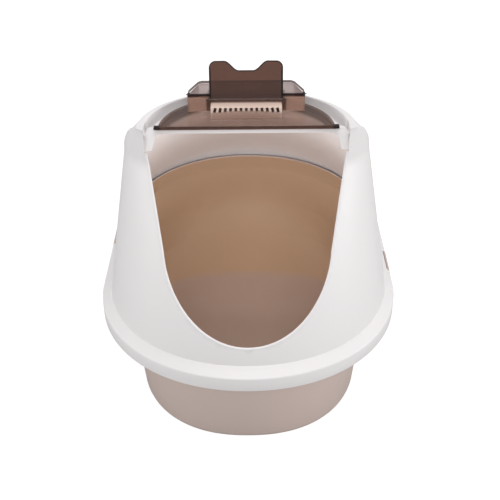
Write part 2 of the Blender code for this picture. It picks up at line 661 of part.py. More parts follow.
def make_pins(steel):
    for ending, side in SIDES:
        low, high = span(side, LID_ARM_X - HINGE_LUG, LID_ARM_X + LID_ARM_WIDTH + HINGE_LUG + 0.0008)
        axis = (0, LID_HINGE_Y, LID_HINGE_Z)
        add_object(f"lid_pin_{ending}", rod(axis[1:], low, high, PIN), steel, axis)
        low, high = span(side, COVER_HALF - 0.005, BOX_HALF + 0.0018)
        axis = (0, COVER_HINGE_Y, COVER_HINGE_Z)
        add_object(f"cover_pin_{ending}", rod(axis[1:], low, high, PIN_SMALL), steel, axis)
        low, high = span(side, FLAP_HALF - 0.005, FLAP_HALF + FLAP_LUG + 0.0012)
        axis = (0, FLAP_Y, FLAP_Z)
        add_object(f"flap_pin_{ending}", rod(axis[1:], low, high, PIN_SMALL), steel, axis)


def main():
    for made in list(bpy.data.objects):
        bpy.data.objects.remove(made)
    beige = material("beige_plastic", (0.48, 0.39, 0.35))
    white = material("white_plastic", (0.86, 0.85, 0.85))
    lid_smoke = smoked("smoked_lid", 0.30)
    flap_smoke = smoked("smoked_flap", 0.12)
    charcoal = material("filter_foam", (0.03, 0.03, 0.03), 0.9)
    steel = material("pin_plastic", (0.10, 0.09, 0.09))
    make_pan(beige)
    make_hood(white)
    for ending, side in SIDES:
        make_latch(ending, side, beige, steel)
    make_lid(lid_smoke)
    make_cover(lid_smoke)
    make_flap(flap_smoke)
    make_vent(beige)
    make_filter(charcoal)
    make_pins(steel)


main()
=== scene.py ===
"""Looks of the hooded cat litter box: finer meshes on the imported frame, plastics, light and camera.

Metres, +Z up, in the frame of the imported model. The entry faces -Y.
"""

from math import asin, copysign, cos, degrees, pi, radians, sin

import bmesh
import bpy
from mathutils import Matrix, Vector
from mathutils.bvhtree import BVHTree


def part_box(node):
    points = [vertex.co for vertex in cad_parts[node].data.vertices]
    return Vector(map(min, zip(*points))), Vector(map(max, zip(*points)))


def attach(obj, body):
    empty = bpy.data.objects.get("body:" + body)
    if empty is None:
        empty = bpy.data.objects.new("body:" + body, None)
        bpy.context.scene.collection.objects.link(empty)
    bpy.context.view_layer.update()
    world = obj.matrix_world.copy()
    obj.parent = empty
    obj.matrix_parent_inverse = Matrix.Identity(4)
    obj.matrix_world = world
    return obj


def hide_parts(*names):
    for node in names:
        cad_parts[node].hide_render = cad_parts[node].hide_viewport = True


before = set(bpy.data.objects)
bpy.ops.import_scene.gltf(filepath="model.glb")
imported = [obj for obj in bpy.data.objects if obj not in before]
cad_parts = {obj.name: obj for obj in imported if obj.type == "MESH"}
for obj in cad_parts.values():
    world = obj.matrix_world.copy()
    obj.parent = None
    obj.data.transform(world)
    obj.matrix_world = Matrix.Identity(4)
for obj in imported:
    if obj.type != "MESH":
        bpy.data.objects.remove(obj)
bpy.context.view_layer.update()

# The sizes below are those of the frame's own solids.
WIDTH = 0.410
LENGTH = 0.570
END_DEPTH = 0.200
ARC_Y = LENGTH / 2 - END_DEPTH
SQUARE = 2.07
FLOOR_SQUARE = 2.25
SEGMENTS = 240
FACET = 0.99905  # the frame's ovals are coarser, so their ends stand this much further in
GAP = 0.0003
BROAD = 0.0005  # square metres; only flat faces are this large
BORE = 0.0016  # round the lid's pins
BORE_SMALL = 0.0009  # round all the other pins
EYE_DEPTH = 0.006  # how far a pin's bore goes into a leaf

PAN_FLOOR_SIDE_INSET = 0.050
PAN_FLOOR_END_INSET = 0.0365
PAN_TOP_SIDE_INSET = 0.042
PAN_TOP_END_INSET = 0.0290
PAN_NECK_Z = 0.080
PAN_RIM_Z = 0.1398
PAN_LIP_Z = 0.158
PAN_LIP_INSET = 0.0225
PAN_WALL = 0.0030
PAN_FILLET = 0.030
PAN_SWEEP = 0.125
PAN_SWEEP_Z = 0.105

SKIRT_Z = 0.120
LEDGE_OUTER_Z = 0.1415
LEDGE_INNER_Z = 0.150
LEDGE_INSET = 0.0135
HOOD_WALL = 0.0028
SHOULDER_Z = 0.362
SHOULDER_HALF = 0.1545
SHOULDER_FRONT_Y = -0.168
SHOULDER_REAR_Y = 0.100
SHOULDER_FRONT_ARC_Y = -0.095
SHOULDER_REAR_ARC_Y = -0.065
FRONT_POWER = 1.5
REAR_POWER = 1.9
CROWN_Z = 0.407
ROLL_FADE = 0.090
SHOULDER_TILT = 0.25
TILT_Y = -0.100
CROWN_FRONT = 0.22
CROWN_HALF = 0.1325
CROWN_Y = -0.130
CROWN_ROUND = 0.80
SEAT_Y = -0.123
SEAT_ROUND = 0.82
SEAT_Z = 0.3925
SEAT_OUTER = 0.1195
SEAT_INNER = 0.1015
WALL_STEPS = 28
ROLL_STEPS = 18

ENTRY_RADIUS = 0.1050
ENTRY_ARC_Z = 0.2785
ENTRY_HALF = 0.1235
ENTRY_BEAD = 0.0017
BAR_Y = -0.1190
BAR_DEPTH = 0.006
BAR_LEAN = 0.55
BAR_TOP_Z = 0.3990
BAR_HEIGHT = 0.0058
BAR_CORNER = 0.0100
BAR_INNER_HALF = 0.1130
LEG_INNER_HALF = 0.1155
LEG_FOOT_Z = 0.375

LID_FRONT_Y = -0.1240
LID_HALF = 0.1112
LID_TOP_HALF = 0.1060
LID_BASE_Z = SEAT_Z + GAP
LID_TOP_Z = 0.4040
LID_WALL = 0.0022
LID_ROUND = 0.0014
LID_LIP_Z = BAR_TOP_Z + GAP
BOX_HALF = 0.0727
BOX_REAR_HALF = 0.0595
BOX_FRONT_Y = -0.0830
BOX_REAR_Y = -0.0400
BOX_TOP_Z = 0.4232
BOX_WINDOW_HALF = 0.0450
LID_TAB = 0.0020
LID_TAB_Z = 0.4004
LID_HINGE_Y = -0.0120
LID_HINGE_Z = 0.4100
LID_ARM_X = 0.0260
LID_ARM_WIDTH = 0.0080
LID_ARM_HEEL_Y = -0.0345
LID_ARM_BEND_Y = -0.0300
HINGE_LUG = 0.0040
BARREL = 0.0034
COVER_THICK = 0.0036
COVER_HALF = 0.0700
COVER_FRONT_Y = -0.0812
COVER_HINGE_Y = -0.0798
COVER_HINGE_Z = 0.4256
COVER_LUG_Y = -0.0772
COVER_BARREL = 0.0022

FLAP_HALF = 0.0450
FLAP_HEIGHT = 0.0475
FLAP_DIP = 0.0115
FLAP_EAR_X = 0.0265
FLAP_DIP_X = 0.0085
FLAP_THICK = 0.0022
FLAP_RIB = 0.0034
FLAP_RIM = 0.0007
FLAP_LEAN = radians(12)
FLAP_Y = -0.0885
FLAP_Z = 0.4222
FLAP_LUG = 0.0036
FLAP_LUG_ROUND = 0.0026
FLAP_BARREL = 0.0022
FLAP_CORNER = 0.0085
FLAP_RIB_WIDTH = 0.0024
VENT_HALF = 0.0435
VENT_FRONT_Y = -0.1040
VENT_REAR_Y = -0.0836
VENT_FOOT_Y = -0.1050
VENT_FOOT_CURVE = 0.0010
SILL_Y = -0.1068
SILL_THICK = 0.0016
SILL_RISE = 0.0124
SILL_END = 0.0093
VENT_TOP_Z = 0.4190
VENT_WALL = 0.0018
VENT_SLOTS = 13
VENT_PITCH = 0.0064
VENT_SLOT = 0.0033
VENT_REAR_SLOTS = 11
SLOT_TOP_Z = 0.4186
SLOT_FOOT_Z = 0.4140
SLOT_DROP = 0.0022
VENT_FAN = radians(14)

LATCH_HALF = 0.0235
LATCH_Y = 0.0375
LATCH_FOOT_Z = 0.1130
LATCH_OUTER_X = 0.2050
LATCH_THICK = 0.0030
LATCH_HINGE_Z = 0.1385
LATCH_HEAD = 0.0012
NOTCH_INNER_X = 0.2005
NOTCH_CLEAR = 0.0006
SIDES = (("left", -1), ("right", 1))


# ---------------------------------------------------------------- shapes
def outline(half, front_y, front_depth, rear_y, rear_depth, square=2.0):
    """Closed oval seen from above: two half superellipses joined by straight sides."""
    points = []
    for step in range(SEGMENTS):
        turn = 2 * pi * (step + 0.5) / SEGMENTS
        across = copysign(abs(cos(turn)) ** (2 / square), cos(turn))
        along = FACET * copysign(abs(sin(turn)) ** (2 / square), sin(turn))
        y = rear_y + rear_depth * along if along > 0 else front_y + front_depth * along
        points.append((half * across, y))
    return points


def at_height(points, z):
    return [Vector((x, y, z)) for x, y in points]


def oval(inset, z):
    depth = END_DEPTH - inset
    return at_height(outline(WIDTH / 2 - inset, -ARC_Y, depth, ARC_Y, depth, SQUARE), z)


def skin(rings, looped=False):
    """Faces between rings of equal count; looped joins last to first, otherwise the ends are capped."""
    made = bmesh.new()
    grid = [[made.verts.new(point) for point in ring] for ring in rings]
    pairs = list(zip(grid, grid[1:]))
    if looped:
        pairs.append((grid[-1], grid[0]))
    for low, high in pairs:
        for step in range(len(low)):
            after = (step + 1) % len(low)
            made.faces.new((low[step], low[after], high[after], high[step]))
    if not looped:
        made.faces.new(list(reversed(grid[0])))
        made.faces.new(grid[-1])
    return made


def prism(points, low, high, axis="Z"):
    """A flat outline pulled along an axis. Points are (x, y), or (x, z) for Y, or (y, z) for X."""
    place = {
        "Z": lambda a, b, depth: (a, b, depth),
        "Y": lambda a, b, depth: (a, depth, b),
        "X": lambda a, b, depth: (depth, a, b),
    }[axis]
    return skin([[Vector(place(a, b, depth)) for a, b in points] for depth in (low, high)])


def block(low, high):
    corners = [(low[0], low[1]), (high[0], low[1]), (high[0], high[1]), (low[0], high[1])]
    return prism(corners, low[2], high[2])


def arc(centre, radius, start, stop, steps):
    turns = [radians(start + (stop - start) * step / steps) for step in range(steps + 1)]
    return [(centre[0] + radius * cos(turn), centre[1] + radius * sin(turn)) for turn in turns]


def rod(centre, x_low, x_high, radius, count=28):
    return prism(arc(centre, radius, 0, 360 - 360 / count, count - 1), x_low, x_high, axis="X")


def span(side, near, far):
    return sorted((side * near, side * far))


def facing_out(shape):
    bmesh.ops.recalc_face_normals(shape, faces=shape.faces)
    if shape.calc_volume(signed=True) < 0:
        bmesh.ops.reverse_faces(shape, faces=shape.faces)


def soften(shape, width, segments=3, angle=32):
    """Rounds every edge that turns by more than the angle, in degrees."""
    facing_out(shape)
    sharp = [edge for edge in shape.edges if edge.calc_face_angle(0) > radians(angle)]
    bmesh.ops.bevel(
        shape, geom=sharp, offset=width, segments=segments, profile=0.5, affect="EDGES",
        clamp_overlap=True,
    )
    return shape


def add_object(name, shape):
    facing_out(shape)
    mesh = bpy.data.meshes.new(name)
    shape.to_mesh(mesh)
    shape.free()
    made = bpy.data.objects.new(name, mesh)
    bpy.context.scene.collection.objects.link(made)
    return made


def combine(target, operation, shape):
    """Adds a Boolean with the shape, kept hidden until settle() applies it."""
    tool = add_object(f"{target.name}_tool_{len(target.modifiers)}", shape)
    tool.hide_render = True
    change = target.modifiers.new(tool.name, "BOOLEAN")
    change.operation = operation
    change.solver = "EXACT"
    change.object = tool


def settle(target, crease=34):
    """Applies the Booleans, drops their tools, and shades smooth but for creases and broad flats."""
    bpy.context.view_layer.update()
    graph = bpy.context.evaluated_depsgraph_get()
    mesh = bpy.data.meshes.new_from_object(target.evaluated_get(graph))
    tools = [change.object for change in target.modifiers if change.type == "BOOLEAN"]
    target.modifiers.clear()
    for tool in tools:
        bpy.data.objects.remove(tool)
    target.data = mesh
    mesh.name = target.name
    shape = bmesh.new()
    shape.from_mesh(mesh)
    bmesh.ops.remove_doubles(shape, verts=shape.verts, dist=1e-6)
    bmesh.ops.dissolve_degenerate(shape, edges=shape.edges, dist=1e-6)
    shape.to_mesh(mesh)
    shape.free()
    mesh.shade_smooth()
    mesh.set_sharp_from_angle(angle=radians(crease))
    for face in mesh.polygons:
        if face.area > BROAD:
            face.use_smooth = False
    return target


# ---------------------------------------------------------------- materials
def new_material(name):
    made = bpy.data.materials.new(name)
    made.use_nodes = True
    made.node_tree.nodes.clear()
    return made, made.node_tree.nodes, made.node_tree.links


def noise(nodes, links, scale, detail=2.0, stretch=(1, 1, 1)):
    """A noise in object space, the same on every side."""
    place = nodes.new("ShaderNodeTexCoord")
    mapping = nodes.new("ShaderNodeMapping")
    mapping.inputs["Scale"].default_value = stretch
    texture = nodes.new("ShaderNodeTexNoise")
    texture.inputs["Scale"].default_value = scale
    texture.inputs["Detail"].default_value = detail
    links.new(place.outputs["Object"], mapping.inputs["Vector"])
    links.new(mapping.outputs["Vector"], texture.inputs["Vector"])
    return texture


def ramp(nodes, links, source, low, high, start=0.35, stop=0.65):
    made = nodes.new("ShaderNodeValToRGB")
    made.color_ramp.elements[0].position = start
    made.color_ramp.elements[0].color = low
    made.color_ramp.elements[1].position = stop
    made.color_ramp.elements[1].color = high
    links.new(source, made.inputs["Fac"])
    return made


def grey(value):
    return (value, value, value, 1.0)


def bump(nodes, links, source, strength, distance, below=None):
    made = nodes.new("ShaderNodeBump")
    made.inputs["Strength"].default_value = strength
    made.inputs["Distance"].default_value = distance
    links.new(source, made.inputs["Height"])
    if below:
        links.new(below.outputs["Normal"], made.inputs["Normal"])
    return made


def moulded(name, colour, vary, rough, grain=0.10, specular=0.5, subsurface=0.0):
    """Injection-moulded plastic: fine grain, soft flow marks, and gloss that wanders a little."""
    made, nodes, links = new_material(name)
    shader = nodes.new("ShaderNodeBsdfPrincipled")
    shader.inputs["Specular IOR Level"].default_value = specular
    shader.inputs["IOR"].default_value = 1.46
    if subsurface:
        shader.inputs["Subsurface Weight"].default_value = subsurface
        shader.inputs["Subsurface Radius"].default_value = (1.0, 0.7, 0.5)
        shader.inputs["Subsurface Scale"].default_value = 0.004
    output = nodes.new("ShaderNodeOutputMaterial")
    flow = noise(nodes, links, 9.0, 3.0, (1, 1, 0.6))
    darker = tuple(channel * (1 - vary) for channel in colour) + (1.0,)
    tint = ramp(nodes, links, flow.outputs["Fac"], darker, (*colour, 1.0))
    links.new(tint.outputs["Color"], shader.inputs["Base Color"])
    wear = noise(nodes, links, 60.0, 4.0)
    gloss = ramp(nodes, links, wear.outputs["Fac"], grey(rough - 0.04), grey(rough + 0.06))
    links.new(gloss.outputs["Color"], shader.inputs["Roughness"])
    fine = noise(nodes, links, 1400.0, 2.0)
    small = bump(nodes, links, fine.outputs["Fac"], grain, 0.0003)
    wave = noise(nodes, links, 16.0, 1.0)
    both = bump(nodes, links, wave.outputs["Fac"], 0.05, 0.002, small)
    links.new(both.outputs["Normal"], shader.inputs["Normal"])
    links.new(shader.outputs["BSDF"], output.inputs["Surface"])
    return made


def tinted_below(material, colour, low, high):
    """This colour up to the height low, fading into the plastic's own by high."""
    nodes, links = material.node_tree.nodes, material.node_tree.links
    shader = next(node for node in nodes if node.type == "BSDF_PRINCIPLED")
    above = shader.inputs["Base Color"].links[0].from_socket
    place = nodes.new("ShaderNodeTexCoord")
    split = nodes.new("ShaderNodeSeparateXYZ")
    links.new(place.outputs["Object"], split.inputs["Vector"])
    height = nodes.new("ShaderNodeMapRange")
    height.interpolation_type = "SMOOTHSTEP"
    height.inputs["From Min"].default_value = low
    height.inputs["From Max"].default_value = high
    links.new(split.outputs["Z"], height.inputs["Value"])
    mix = nodes.new("ShaderNodeMixRGB")
    mix.inputs["Color1"].default_value = (*colour, 1.0)
    links.new(above, mix.inputs["Color2"])
    links.new(height.outputs["Result"], mix.inputs["Fac"])
    links.new(mix.outputs["Color"], shader.inputs["Base Color"])


def smoked(name, tint, body, share, shine=0.08):
    """Smoked clear plastic: each face it crosses tints what is behind; body is its own dark colour."""
    made, nodes, links = new_material(name)
    output = nodes.new("ShaderNodeOutputMaterial")
    clear = nodes.new("ShaderNodeBsdfTransparent")
    shader = nodes.new("ShaderNodeBsdfPrincipled")
    shader.inputs["Base Color"].default_value = (*body, 1.0)
    shader.inputs["IOR"].default_value = 1.49
    marks = noise(nodes, links, 35.0, 4.0)
    gloss = ramp(nodes, links, marks.outputs["Fac"], grey(0.16), grey(0.24))
    links.new(gloss.outputs["Color"], shader.inputs["Roughness"])
    thick = ramp(nodes, links, marks.outputs["Fac"], (*tint, 1.0), (*(c * 0.97 for c in tint), 1.0))
    links.new(thick.outputs["Color"], clear.inputs["Color"])
    wave = noise(nodes, links, 22.0, 1.0)
    soft = bump(nodes, links, wave.outputs["Fac"], 0.02, 0.002)
    links.new(soft.outputs["Normal"], shader.inputs["Normal"])
    filled = nodes.new("ShaderNodeMixShader")
    filled.inputs["Fac"].default_value = share
    links.new(clear.outputs["BSDF"], filled.inputs[1])
    links.new(shader.outputs["BSDF"], filled.inputs[2])
    mirror = nodes.new("ShaderNodeBsdfGlossy")
    mirror.inputs["Color"].default_value = (1.0, 0.96, 0.95, 1.0)
    links.new(gloss.outputs["Color"], mirror.inputs["Roughness"])
    links.new(soft.outputs["Normal"], mirror.inputs["Normal"])
    facing = nodes.new("ShaderNodeLayerWeight")
    facing.inputs["Blend"].default_value = shine
    mix = nodes.new("ShaderNodeMixShader")
    links.new(facing.outputs["Facing"], mix.inputs["Fac"])
    links.new(filled.outputs["Shader"], mix.inputs[1])
    links.new(mirror.outputs["BSDF"], mix.inputs[2])
    links.new(mix.outputs["Shader"], output.inputs["Surface"])
    return made


def foam(name):
    """Open-cell charcoal foam."""
    made, nodes, links = new_material(name)
    output = nodes.new("ShaderNodeOutputMaterial")
    shader = nodes.new("ShaderNodeBsdfPrincipled")
    shader.inputs["Roughness"].default_value = 0.95
    place = nodes.new("ShaderNodeTexCoord")
    cells = nodes.new("ShaderNodeTexVoronoi")
    cells.inputs["Scale"].default_value = 620.0
    links.new(place.outputs["Object"], cells.inputs["Vector"])
    tint = ramp(nodes, links, cells.outputs["Distance"], grey(0.008), grey(0.06), 0.1, 0.6)
    links.new(tint.outputs["Color"], shader.inputs["Base Color"])
    rise = bump(nodes, links, cells.outputs["Distance"], 0.9, 0.001)
    links.new(rise.outputs["Normal"], shader.inputs["Normal"])
    links.new(shader.outputs["BSDF"], output.inputs["Surface"])
    return made


WHITE = moulded("white_plastic_moulded", (0.80, 0.775, 0.778), 0.012, 0.40, 0.08)
BEIGE = moulded("beige_plastic_moulded", (0.59, 0.48, 0.435), 0.02, 0.42, 0.10)
# Painted shade: the pan's inside is the same beige plastic, painted browner and darker to stand in for
# the shade and warm bounce light inside the hood.
BEIGE_INSIDE_PAINTED_SHADE = moulded("beige_plastic_inside_painted_shade", (0.50, 0.335, 0.222), 0.02, 0.50, 0.08, 0.35)
# Painted shade: the floor inside the pan is painted greyer and a little darker than its walls.
tinted_below(BEIGE_INSIDE_PAINTED_SHADE, (0.455, 0.335, 0.272), PAN_WALL + 0.0001, PAN_WALL * 2)
TAN = moulded("beige_plastic_vent", (0.72, 0.55, 0.47), 0.02, 0.40, 0.06)
# Painted shade: the vent's inner faces are painted near black so that its slots read dark, as if in
# shade.
TAN_INSIDE_PAINTED_SHADE = moulded("beige_plastic_vent_inside", (0.14, 0.10, 0.085), 0.02, 0.60, 0.06)
LID_SMOKE = smoked("smoked_lid_clear", (0.62, 0.535, 0.495), (0.36, 0.24, 0.20), 0.07)
WALL_SMOKE = smoked("smoked_box_clear", (0.98, 0.94, 0.92), (0.70, 0.43, 0.33), 0.40)
SILL_SMOKE = smoked("smoked_lid_sill", (0.97, 0.93, 0.91), (0.42, 0.30, 0.26), 0.20)
EDGE_SMOKE = smoked("smoked_lid_edge", (0.52, 0.42, 0.39), (0.07, 0.042, 0.036), 0.10)
BOX_SMOKE = smoked("smoked_cover_clear", (0.96, 0.94, 0.95), (0.55, 0.45, 0.44), 0.14)
FLAP_SMOKE = smoked("smoked_flap_clear", (0.43, 0.29, 0.23), (0.145, 0.088, 0.075), 0.45, 0.015)
FLAP_EDGE = smoked("smoked_flap_edge", (0.12, 0.08, 0.07), (0.035, 0.022, 0.022), 0.45, 0.015)
FOAM = foam("filter_foam_charcoal")
PIN_PLASTIC = moulded("pin_plastic_dark", (0.10, 0.09, 0.088), 0.05, 0.35, 0.05)


def dress(piece, finish, body, node):
    piece.data.materials.clear()
    piece.data.materials.append(finish)
    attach(piece, body)
    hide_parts(node)
    return piece


def edge(piece, finish, chosen):
    """Gives some faces a second finish: at a rim of smoked plastic a deeper one, as light crosses more
    plastic there; inside the vent, painted shade.
    """
    piece.data.materials.append(finish)
    number = len(piece.data.materials) - 1
    for face in piece.data.polygons:
        if chosen(face):
            face.material_index = number
    return piece


# ---------------------------------------------------------------- pan
def pan_ring(side_inset, end_inset, z, lift=0.0):
    depth = END_DEPTH - end_inset
    square = SQUARE + (FLOOR_SQUARE - SQUARE) * max(0.0, 1 - z / PAN_NECK_Z)
    below = min(1.0, max(0.0, 1 - (z - lift) / PAN_SWEEP_Z))
    rear = depth - PAN_SWEEP * (1 - (1 - below**2) ** 0.5)
    return at_height(outline(WIDTH / 2 - side_inset, -ARC_Y, depth, ARC_Y, rear, square), z)


def pan_wall(inset, low_z, lift=0.0, steps=16):
    """Rings of the wall between its foot and the neck, closer together near the foot."""
    rings = []
    for step in range(1, steps):
        z = low_z + (PAN_NECK_Z - low_z) * (step / steps) ** 1.7
        share = z / PAN_NECK_Z
        side = PAN_FLOOR_SIDE_INSET + (PAN_TOP_SIDE_INSET - PAN_FLOOR_SIDE_INSET) * share
        end = PAN_FLOOR_END_INSET + (PAN_TOP_END_INSET - PAN_FLOOR_END_INSET) * share
        rings.append(pan_ring(side + inset, end + inset, z, lift))
    return rings


def pan_flare(inset, lift=0.0, steps=20):
    top_z = PAN_RIM_Z - PAN_WALL - 0.001
    rings = []
    for step in range(steps + 1):
        rise = step / steps
        share = rise**2.6
        side = PAN_TOP_SIDE_INSET + (PAN_LIP_INSET - PAN_TOP_SIDE_INSET) * share
        end = PAN_TOP_END_INSET + (PAN_LIP_INSET - PAN_TOP_END_INSET) * share
        rings.append(pan_ring(side + inset, end + inset, PAN_NECK_Z + (top_z - PAN_NECK_Z) * rise, lift))
    return rings


def make_pan():
    lip = PAN_LIP_INSET
    wall = PAN_WALL
    side, end = PAN_FLOOR_SIDE_INSET, PAN_FLOOR_END_INSET
    rim_under = PAN_RIM_Z - wall
    foot = 0.004
    rings = []
    for turn in (0, 22, 45, 67, 90):
        back = foot * (1 - sin(radians(turn)))
        rings.append(pan_ring(side + back, end + back, foot * (1 - cos(radians(turn)))))
    rings += pan_wall(0.0, foot)
    rings += pan_flare(0.0)
    rings.append(oval(0.0055, rim_under))
    rings.append(oval(0.0045, rim_under + 0.0006))
    rings.append(oval(0.0045, PAN_RIM_Z - 0.0006))
    rings.append(oval(0.0055, PAN_RIM_Z))
    rings.append(oval(lip - 0.0012, PAN_RIM_Z))
    rings.append(oval(lip - 0.0002, PAN_RIM_Z + 0.0010))
    middle = lip + wall / 2
    for turn in (0, 30, 60, 90, 120, 150, 180):
        reach = wall / 2 * cos(radians(turn))
        rings.append(oval(middle - reach, PAN_LIP_Z - wall / 2 * (1 - sin(radians(turn)))))
    inner_start = len(rings)
    rings += list(reversed(pan_flare(wall + 0.0004, wall)))
    top_fillet = wall + PAN_FILLET
    rings += list(reversed(pan_wall(wall, top_fillet, wall)))
    for turn in range(0, 91, 6):
        rise = 1 - sin(radians(turn))
        share = rise * PAN_FILLET / PAN_NECK_Z
        bend = PAN_FILLET * (1 - cos(radians(turn)))
        side_in = side + (PAN_TOP_SIDE_INSET - side) * share + wall + bend
        end_in = end + (PAN_TOP_END_INSET - end) * share + wall + bend
        rings.append(pan_ring(side_in, end_in, wall + rise * PAN_FILLET, wall))
    pan = settle(add_object("pan_moulded", skin(rings)))
    dress(pan, BEIGE, "pan", "litter_pan")
    # The pan's inner faces take the painted-shade copy of the beige.
    pan.data.materials.append(BEIGE_INSIDE_PAINTED_SHADE)
    underside = (len(rings) - 1) * SEGMENTS
    for face in pan.data.polygons:
        if face.index >= (inner_start - 1) * SEGMENTS and face.index != underside:
            face.material_index = 1
    return pan


# ---------------------------------------------------------------- hood
def wall_ring(share, inset, z):
    half = WIDTH / 2 - LEDGE_INSET
    half += (SHOULDER_HALF - half) * share - inset
    end = LENGTH / 2 - LEDGE_INSET
    front = -end + (SHOULDER_FRONT_Y + end) * share**FRONT_POWER + inset
    rear = end + (SHOULDER_REAR_Y - end) * share**REAR_POWER - inset
    front_arc = -ARC_Y + (SHOULDER_FRONT_ARC_Y + ARC_Y) * share
    rear_arc = ARC_Y + (SHOULDER_REAR_ARC_Y - ARC_Y) * share
    square = SQUARE + (2.0 - SQUARE) * share
    points = outline(half, front_arc, front_arc - front, rear_arc, rear - rear_arc, square)
    return [Vector((x, y, z - share * SHOULDER_TILT * max(0.0, y - TILT_Y))) for x, y in points]


def crown_ring(half, z):
    return at_height(outline(half, CROWN_Y, half * CROWN_FRONT, CROWN_Y, half * CROWN_ROUND), z)


def seat_ring(half, z):
    return at_height(outline(half, SEAT_Y, half * CROWN_FRONT, SEAT_Y, half * SEAT_ROUND), z)


def lip_ring(share, z):
    """Part of the way from the crown's edge to the seat's, seen from above."""
    pairs = zip(crown_ring(CROWN_HALF, z), seat_ring(SEAT_OUTER, z))
    return [crown.lerp(seat, share) for crown, seat in pairs]


def hood_side(inset):
    rise = SHOULDER_Z - LEDGE_INNER_Z
    shares = [step / WALL_STEPS for step in range(WALL_STEPS + 1)]
    return [wall_ring(share, inset, LEDGE_INNER_Z + rise * share) for share in shares]


def hood_roll(inset):
    rings = []
    crown = crown_ring(CROWN_HALF - inset * 0.4, CROWN_Z - inset)
    for step in range(1, ROLL_STEPS + 1):
        turn = radians(90 * step / ROLL_STEPS)
        share = 1 - cos(turn)
        ring = []
        for low, high in zip(wall_ring(1.0, inset, SHOULDER_Z), crown):
            roll = max(0.0, 1 - max(0.0, low.y - CROWN_Y) / ROLL_FADE)
            point = low.lerp(high, share)
            point.z = low.z + (high.z - low.z) * (roll * sin(turn) + (1 - roll) * share**0.8)
            ring.append(point)
        rings.append(ring)
    return rings


def entry_path():
    """Half of the U of the entry, from its lowest point up to the leg of the bar, as (x, z)."""
    side = arc((0, ENTRY_ARC_Z), ENTRY_RADIUS, -90, -4, 44)
    foot = side[-1]
    for step in range(1, 13):
        share = step / 12
        side.append((foot[0] + (ENTRY_HALF - foot[0]) * share, foot[1] + (LEG_FOOT_Z - foot[1]) * share))
    return side


def entry_cutter():
    side = entry_path() + [(ENTRY_HALF, CROWN_Z + 0.03)]
    points = side + [(-x, z) for x, z in reversed(side[1:])]
    return prism(points, -0.5, BAR_Y + BAR_DEPTH / 2, axis="Y")


def entry_bead(shell):
    """The rolled edge of the entry: a thin round bead along the cut, in the middle of the wall."""
    tree = BVHTree.FromBMesh(shell)
    half = entry_path()
    flat = [(-x, z) for x, z in reversed(half[1:])] + half
    path = []
    for x, z in flat:
        hit, normal, _, _ = tree.ray_cast(Vector((x, -0.5, z)), Vector((0, 1, 0)))
        if normal.y > 0:
            normal = -normal
        path.append((hit - normal * HOOD_WALL / 2, normal))
    rings = []
    for number, (point, normal) in enumerate(path):
        before = path[max(0, number - 1)][0]
        after = path[min(len(path) - 1, number + 1)][0]
        along = (after - before).normalized()
        across = along.cross(normal).normalized()
        up = across.cross(along)
        ring = []
        for step in range(16):
            turn = 2 * pi * step / 16
            ring.append(point + ENTRY_BEAD * (cos(turn) * up + sin(turn) * across))
        rings.append(ring)
    return skin(rings)


def make_bar():
    half = ENTRY_HALF + 0.002
    corner = BAR_CORNER
    under = BAR_TOP_Z - BAR_HEIGHT
    outer = [(half, LEG_FOOT_Z)] + arc((half - corner, BAR_TOP_Z - corner), corner, 0, 90, 14)
    inside = [(LEG_INNER_HALF, LEG_FOOT_Z)]
    inside += arc((BAR_INNER_HALF - corner, under - corner), corner, 0, 90, 14)
    points = outer + [(-x, z) for x, z in reversed(outer)]
    points += [(-x, z) for x, z in inside] + [(x, z) for x, z in reversed(inside)]
    rings = []
    for depth in (0.0, BAR_DEPTH):
        rings.append([Vector((x, BAR_Y + depth - BAR_LEAN * (BAR_TOP_Z - z), z)) for x, z in points])
    return soften(skin(rings), 0.0009)


def hinge_lug(low, high, axis_y, axis_z, radius, foot_z, foot=0.0):
    points = arc((axis_y, axis_z), radius, 0, 180, 16)
    points += [(axis_y - radius - foot, foot_z), (axis_y + radius, foot_z)]
    return soften(prism(points, low, high, axis="X"), 0.0004, 2)


